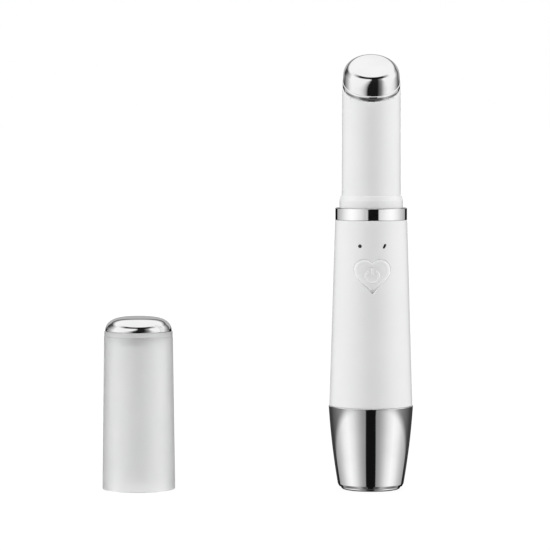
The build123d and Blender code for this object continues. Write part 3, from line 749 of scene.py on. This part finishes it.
def upper_housing():
    """The white upper tube with the cap's seat, cut at a slant on top."""
    seat_top = band_high.z + seat_straight
    collar_top = band_high.z + collar_height
    blank_top = cut_height + tube_bottom_radius * tan(slant) + blank_spare
    tube_foot = Vector((tube_bottom_radius, collar_top))
    tube_top = Vector((tube_top_radius, blank_top))
    tube = [tube_foot.lerp(tube_top, step / tube_steps) for step in range(1, tube_steps + 1)]
    profile = rounded(
        (tube_bore, housing_low.z, foot_bore_round),
        (foot_radius, housing_low.z, foot_round),
        (foot_radius, band_high.z),
        (housing_high.x, band_high.z, seat_foot_round),
        (housing_high.x, seat_top, seat_round),
        (collar_radius, collar_top, collar_round),
        (tube_bottom_radius, collar_top, tube_foot_round),
        tuple(tube[0]),
    )[:-1]
    shape = turned(profile + tube + [Vector((tube_bore, blank_top))])
    normal = Vector((0, -sin(slant), cos(slant)))
    everything = list(shape.verts) + list(shape.edges) + list(shape.faces)
    bmesh.ops.bisect_plane(
        shape, geom=everything, dist=MERGE, plane_co=(0, 0, cut_height), plane_no=normal, clear_outer=True
    )
    rims = [edge for edge in shape.edges if edge.is_boundary]
    bmesh.ops.bridge_loops(shape, edges=rims)
    outside = {vert for edge in rims for vert in edge.verts if vert.co.xy.length > tube_top_radius - ON_WALL}
    outer = [edge for edge in rims if outside.issuperset(edge.verts)]
    bmesh.ops.bevel(
        shape, geom=outer, offset=tube_rim_round, segments=3, profile=0.5, affect="EDGES", material=-1
    )
    finished(shape, "upper_housing", "wand", "white_plastic")


def massage_head():
    """The chrome head: a rounded slanted face, its wall, a thin lip and a skirt inside the tube."""
    angles = [2 * pi * step / ROUND_STEPS for step in range(ROUND_STEPS)]
    normal = Vector((0, -sin(slant), cos(slant)))

    def on_slant(radius, height, offset=0.0):
        """A ring round the wand's axis, parallel to the slanted face."""
        points = [Vector((radius * cos(angle), radius * sin(angle), 0)) for angle in angles]
        for point in points:
            point.z = height + offset / cos(slant) + point.y * tan(slant)
        return points

    def level(radius, height):
        """A level ring round the wand's axis."""
        return [Vector((radius * cos(angle), radius * sin(angle), height)) for angle in angles]

    def lip_arc(middle_radius, middle_offset, bend, start, end):
        """Slanted rings over one of the lip's rounds."""
        turns = [radians(start + (end - start) * step / 8) for step in range(9)]
        spots = [(middle_radius + bend * cos(turn), middle_offset + bend * sin(turn)) for turn in turns]
        return [on_slant(radius, cut_height, offset) for radius, offset in spots]

    def crown(radius, bend, height):
        """Rows from the top of an upright wall, over its rolled round, to the middle of the slanted face."""
        ball = on_slant(radius - bend, height, -bend)
        outwards = [Vector((cos(angle), sin(angle), 0)) for angle in angles]
        made = []
        for step in range(crown_steps + 1):
            leans = [out.slerp(normal, step / crown_steps) for out in outwards]
            made.append([spot + lean * bend for spot, lean in zip(ball, leans)])
        shift = -bend * sin(slant)
        middle = Vector((0, shift, height + shift * tan(slant)))
        for share in (0.96, 0.85, 0.7, 0.5, 0.3, 0.15, 0):
            made.append([middle.lerp(point, share) for point in made[crown_steps]])
        return made

    def drawn_in(row):
        """A row of the outside, drawn in more the higher it is, so that the wall is faintly barrelled."""
        made = []
        for point in row:
            above = (point.z - cut_height - point.y * tan(slant)) * cos(slant) - lip_height
            scale = 1 - wall_draw_in / head_radius * max(above / wall_draw_height, 0.0) ** 2
            height = point.z + point.y * (scale - 1) * tan(slant)
            made.append(Vector((point.x * scale, point.y * scale, height)))
        return made

    inner_radius = head_radius - head_skin
    rows = crown(inner_radius, head_round - head_skin, face_height - head_skin / cos(slant))[::-1]
    rows += [on_slant(inner_radius, cut_height, lip_height), on_slant(skirt_bore, cut_height, lip_height)]
    rows += [level(skirt_bore, head_low.z + SUPPORT), level(skirt_bore, head_low.z)]
    rows += [level(skirt_radius, head_low.z), level(skirt_radius, head_low.z + SUPPORT)]
    rows += [on_slant(skirt_radius, cut_height, -SUPPORT), on_slant(skirt_radius, cut_height)]
    foot_middle = lip_radius - lip_height * tan(radians(lip_draft)) - lip_foot_round
    rows += lip_arc(foot_middle, lip_foot_round, lip_foot_round, -90, -lip_draft)
    top_middle = lip_radius - lip_top_round
    rows += lip_arc(top_middle, lip_height - lip_top_round, lip_top_round, -lip_draft, 90)
    wall_foot = on_slant(head_radius, cut_height, lip_height)
    rows.append(wall_foot)
    top = crown(head_radius, head_round, face_height)
    for share in (0.04, 0.15, 0.3, 0.45, 0.6, 0.75, 0.88):
        rows.append(drawn_in([low.lerp(high, share) for low, high in zip(wall_foot, top[0])]))
    rows += [drawn_in(row) for row in top]
    finished(lofted(rows), "massage_head", "wand", "chrome")


def at_cap(shape):
    """Moves a turned shape from the wand's axis to the cap's."""
    bmesh.ops.translate(shape, vec=(cap_centre, 0, 0), verts=shape.verts)
    return shape


def cap_shell():
    """The translucent wall of the cap."""
    inner_top = cap_top_radius - cap_wall
    profile = rounded(
        (cap_bore, 0, mouth_inner_round),
        (cap_mouth_radius, 0, mouth_outer_round),
        (cap_top_radius, cap_high.z, cap_top_round),
        (inner_top, cap_high.z, cap_inner_round),
        (cap_bore, cap_seat_depth, cap_seat_round),
    )
    finished(at_cap(turned(profile)), "cap_shell", "cap", "frosted_plastic")


def cap_ring():
    """The translucent ring under the dome, with its spigot inside the wall."""
    spigot = cap_top_radius - cap_wall - press_fit
    profile = rounded(
        (ring_bore, ring_low.z),
        (spigot, ring_low.z, ring_spigot_round),
        (spigot, cap_high.z),
        (ring_radius, cap_high.z, ring_foot_round),
        (ring_radius, ring_high.z, ring_top_round),
        (ring_bore, ring_high.z),
    )
    finished(at_cap(turned(profile)), "cap_ring", "cap", "frosted_plastic")


def cap_dome():
    """The chrome dome of the cap: full at its shoulder and nearly flat on top."""
    height = dome_high.z - dome_low.z

    def dome(radius, rise):
        made = []
        for step in range(49):
            angle = pi / 2 * step / 48
            out = radius * cos(angle) ** (2 / dome_side_power)
            made.append(Vector((out, dome_low.z + rise * sin(angle) ** (2 / dome_top_power))))
        return made

    outside = dome(dome_radius, height)
    inside = dome(dome_radius - dome_wall, height - dome_wall)
    shape = turned(outside + list(reversed(inside)))
    finished(at_cap(shape), "cap_dome", "cap", "chrome")


handle_shell()
power_button()
light_pipe("left_light_pipe", round_lamp)
light_pipe("right_light_pipe", slanted_lamp)
base_sleeve()
chrome_band()
upper_housing()
massage_head()
cap_shell()
cap_ring()
cap_dome()

for part in frame["record"]["subparts"]:
    node = frame["nodes"][part["node"]]
    node.data.materials.clear()
    node.data.materials.append(finishes[part["material_slot"]].material)


class Room:
    """The room that chrome mirrors, painted on the world by direction. Heights and turns are in degrees."""

    def __init__(self, tree):
        self.tree = tree
        way = self.node("SeparateXYZ", self.node("TexCoord").outputs["Generated"]).outputs
        self.rise = self.maths("MULTIPLY_ADD", way["Z"], 0.5, 0.5)
        to_front = self.maths("MULTIPLY", way["Y"], -1.0)
        azimuth = self.maths("DIVIDE", self.maths("ARCTAN2", way["X"], to_front), pi)
        self.turn = self.maths("ADD", azimuth, strip_offset / HALF_TURN)
        self.around = self.maths("ABSOLUTE", self.turn)

    def node(self, kind, *inputs, **settings):
        made = self.tree.nodes.new("ShaderNode" + kind)
        for name, value in settings.items():
            setattr(made, name, value)
        for socket, value in zip(made.inputs, inputs):
            if isinstance(value, bpy.types.NodeSocket):
                self.tree.links.new(value, socket)
            else:
                socket.default_value = value
        return made

    def maths(self, operation, *inputs):
        return self.node("Math", *inputs, operation=operation).outputs[0]

    def times(self, first, second):
        return self.maths("MULTIPLY", first, second)

    def mixed(self, share, first, second):
        return self.node("MixRGB", share, first, second).outputs[0]

    def ramp(self, value, stops):
        """A level that follows a value from 0 to 1."""
        made = self.node("ValToRGB", value)
        elements = made.color_ramp.elements
        while len(elements) < len(stops):
            elements.new(0.5)
        for stop, (place, level) in zip(elements, stops):
            stop.position = place
            stop.color = (level, level, level, 1)
        return made.outputs["Color"]

    def by_height(self, *stops):
        """A level that follows the angle above the horizon."""
        return self.ramp(self.rise, [((sin(radians(angle)) + 1) / 2, level) for angle, level in stops])

    def turn_by_height(self, *stops):
        """A turn, as a share of half a turn, that follows the angle above the horizon."""
        return self.by_height(*((angle, turn / HALF_TURN) for angle, turn in stops))

    def by_turn(self, *stops):
        """A level that follows the turn away from the front, the same at both sides."""
        return self.ramp(self.around, [(angle / HALF_TURN, level) for angle, level in stops])

    def by_side(self, turn, *stops):
        """A level that follows a turn from the left, where it is under 0, to the right."""
        share = self.maths("MULTIPLY_ADD", turn, 0.5, 0.5)
        return self.ramp(share, [((angle / HALF_TURN + 1) / 2, level) for angle, level in stops])


def lower_cards(room):
    """The cards below the horizon, with a dark flag in front except in the row that the lip mirrors."""
    ground = room.by_turn(
        (30, 0.08), (38, 0.1), (46, 0.2), (58, 0.45), (70, 0.45), (88, 0.27), (112, 0.16), (140, 0.05),
    )
    low = room.by_turn(
        (18, 0.31), (24, 0.36), (33, 0.49), (42, 0.66), (51, 0.84), (61, 0.97), (70, 1.05), (79, 1.0),
        (87, 0.93), (96, 0.79), (106, 0.64), (118, 0.52), (131, 0.41), (134.5, 0.38), (137, 0.0),
    )
    high = room.by_turn(
        (20, 0.62), (24, 0.7), (34, 0.86), (44, 0.96), (54, 1.06), (65, 1.12), (76, 1.1), (88, 1.0),
        (100, 0.84), (110, 0.7), (120, 0.6), (138, 0.45), (141, 0.0),
    )
    cards = room.mixed(room.by_height((-42, 0.0), (-30, 1.0), (-13, 1.0), (-11.5, 0.0)), ground, low)
    cards = room.mixed(room.by_height((-5, 0.0), (-3, 1.0)), cards, high)
    lean = room.turn_by_height((-14, 0), (-4, 7), (-1, 7), (1, 5), (30, 0))
    width = room.turn_by_height((-26, 17), (-14.5, 13.9), (-6, 16.2), (-2, 17), (1, 17), (17, 18), (37, 13))
    from_middle = room.maths("ABSOLUTE", room.maths("SUBTRACT", room.turn, lean))
    from_edge = room.maths("SUBTRACT", from_middle, width)
    past_flag = room.maths("MULTIPLY_ADD", from_edge, HALF_TURN / flag_blur, 0.5)
    past_flag.node.use_clamp = True
    lip_row = room.by_height((-11.5, 0.0), (-10, 1.0), (-5.5, 1.0), (-4.5, 0.0))
    return room.times(cards, room.maths("MAXIMUM", past_flag, lip_row))


def upper_cards(room):
    """The cards above the horizon. The left edge of their dark gap slides to the right as it rises."""
    slide = room.turn_by_height((5, 0), (9, 2), (11.5, 6), (13.7, 12), (28, 20))
    slid = room.times(slide, room.by_side(room.turn, (0, 1.0), (28, 0.0)))
    cards = room.by_side(
        room.maths("SUBTRACT", room.turn, slid),
        (-143, 0.04), (-134, 0.16), (-125, 0.3), (-110, 0.54), (-98, 0.86), (-85, 1.0), (-60, 0.98),
        (-47, 0.92), (-34, 0.74), (-22, 0.38), (-15, 0.01), (24, 0.01), (30, 0.07), (41, 0.22), (54, 0.74),
        (69, 1.0), (85, 0.98), (103, 0.84), (125, 0.34), (134, 0.17), (143, 0.04),
    )
    lift = room.by_height((6, 1.0), (14, 1.25), (26, 1.7))
    return room.maths("MINIMUM", room.times(cards, lift), 1.0)


def mirrored(room):
    """All that chrome mirrors: the cards, a far glow behind, and a white canopy with a dark edge in front."""
    cards = room.mixed(room.by_height((-1.3, 0.0), (-0.3, 1.0)), lower_cards(room), upper_cards(room))
    glow_height = room.by_height((1, 0.0), (3, 0.43), (22, 0.43), (27, 0.06))
    far_glow = room.times(glow_height, room.by_turn((143, 0.0), (147, 1.0)))
    edge_height = room.by_height((33, 0.0), (38, 1.0), (50, 1.0), (54, 0.0))
    canopy_edge = room.times(edge_height, room.by_turn((50, 1.0), (88, 0.0)))
    lit = room.times(room.maths("ADD", cards, far_glow), room.maths("SUBTRACT", 1.0, canopy_edge))
    sides = room.maths("MAXIMUM", lit, darkest_mirrored)
    front_canopy = room.by_height((49, 0.0), (54, 1.0))
    back_canopy = room.by_height((30, 0.0), (40, 1.0))
    canopy = room.mixed(room.by_turn((86, 0.0), (100, 1.0)), front_canopy, back_canopy)
    return room.mixed(canopy, sides, (1.0, 1.0, 1.0, 1.0))


def studio():
    """A studio with a mirrored room for chrome, a soft sky for matt surfaces and white for the camera."""
    world = bpy.data.worlds.new("studio")
    bpy.context.scene.world = world
    world.use_nodes = True
    world.node_tree.nodes.clear()
    room = Room(world.node_tree)
    sky = room.times(
        room.by_height((-5, 0.5), (10, 0.75), (90, 1.2)),
        room.by_turn((15, 0.72), (80, 1.0)),
    )
    path = room.node("LightPath").outputs
    seen_through = room.maths("MAXIMUM", path["Is Camera Ray"], path["Is Transmission Ray"])
    lit = room.mixed(path["Is Glossy Ray"], sky, mirrored(room))
    colour = room.mixed(seen_through, lit, (1.0, 1.0, 1.0, 1.0))
    background = room.node("Background", colour, 1.0)
    room.tree.links.new(background.outputs[0], room.node("OutputWorld").inputs[0])


def side_lamp(name, azimuth, elevation, strength, spread):
    """A soft lamp a long way off that throws no shadow and that mirrors don't show. Angles are in degrees."""
    data = bpy.data.lights.new(name, "SUN")
    data.energy = strength
    data.angle = radians(spread)
    data.use_shadow = False
    lamp = bpy.data.objects.new(name, data)
    bpy.context.scene.collection.objects.link(lamp)
    turn, rise = radians(azimuth), radians(elevation)
    towards = Vector((sin(turn) * cos(rise), -cos(turn) * cos(rise), sin(rise)))
    lamp.rotation_euler = towards.to_track_quat("Z", "Y").to_euler()
    lamp.visible_glossy = False


def floor():
    """A plain pale floor: white to the camera and through the cap, with a soft shadow."""
    made = Finish("pale_floor")
    made.set(Base_Color=(floor_level, floor_level, floor_level, 1), Roughness=0.9, Specular_IOR_Level=0.0)
    glow = made.node("Emission", {"Color": (1, 1, 1, 1), "Strength": floor_glow}).outputs[0]
    path = made.node("LightPath").outputs
    rays = {0: path["Is Camera Ray"], 1: path["Is Transmission Ray"]}
    direct = made.node("Math", rays, operation="MAXIMUM").outputs[0]
    share = made.node("Math", {0: direct, 1: floor_glow_share}, operation="MULTIPLY").outputs[0]
    mix = made.node("MixShader", {0: share, 1: made.shader.outputs[0], 2: glow}).outputs[0]
    made.tree.links.new(mix, made.tree.nodes["Material Output"].inputs["Surface"])
    shape = bmesh.new()
    bmesh.ops.create_grid(shape, x_segments=1, y_segments=1, size=floor_half_side)
    mesh = bpy.data.meshes.new("floor_mesh")
    shape.to_mesh(mesh)
    shape.free()
    mesh.materials.append(made.material)
    ground = bpy.data.objects.new("floor", mesh)
    bpy.context.scene.collection.objects.link(ground)
    ground.visible_glossy = False


def camera():
    """The photograph's viewing angle: a little above the wand's middle, from the front."""
    data = bpy.data.cameras.new("camera")
    data.lens = camera_lens
    data.sensor_width = 36.0
    data.clip_end = 100.0
    view = bpy.data.objects.new("camera", data)
    bpy.context.scene.collection.objects.link(view)
    sight = Vector(camera_target) - Vector(camera_spot)
    view.location = camera_spot
    view.rotation_euler = sight.to_track_quat("-Z", "Y").to_euler()
    bpy.context.scene.camera = view


studio()
side_lamp("left_lamp", -83, 18, 0.95, 20)
side_lamp("right_lamp", 83, 18, 0.95, 20)
floor()
camera()
bpy.context.scene.view_settings.view_transform = "Standard"
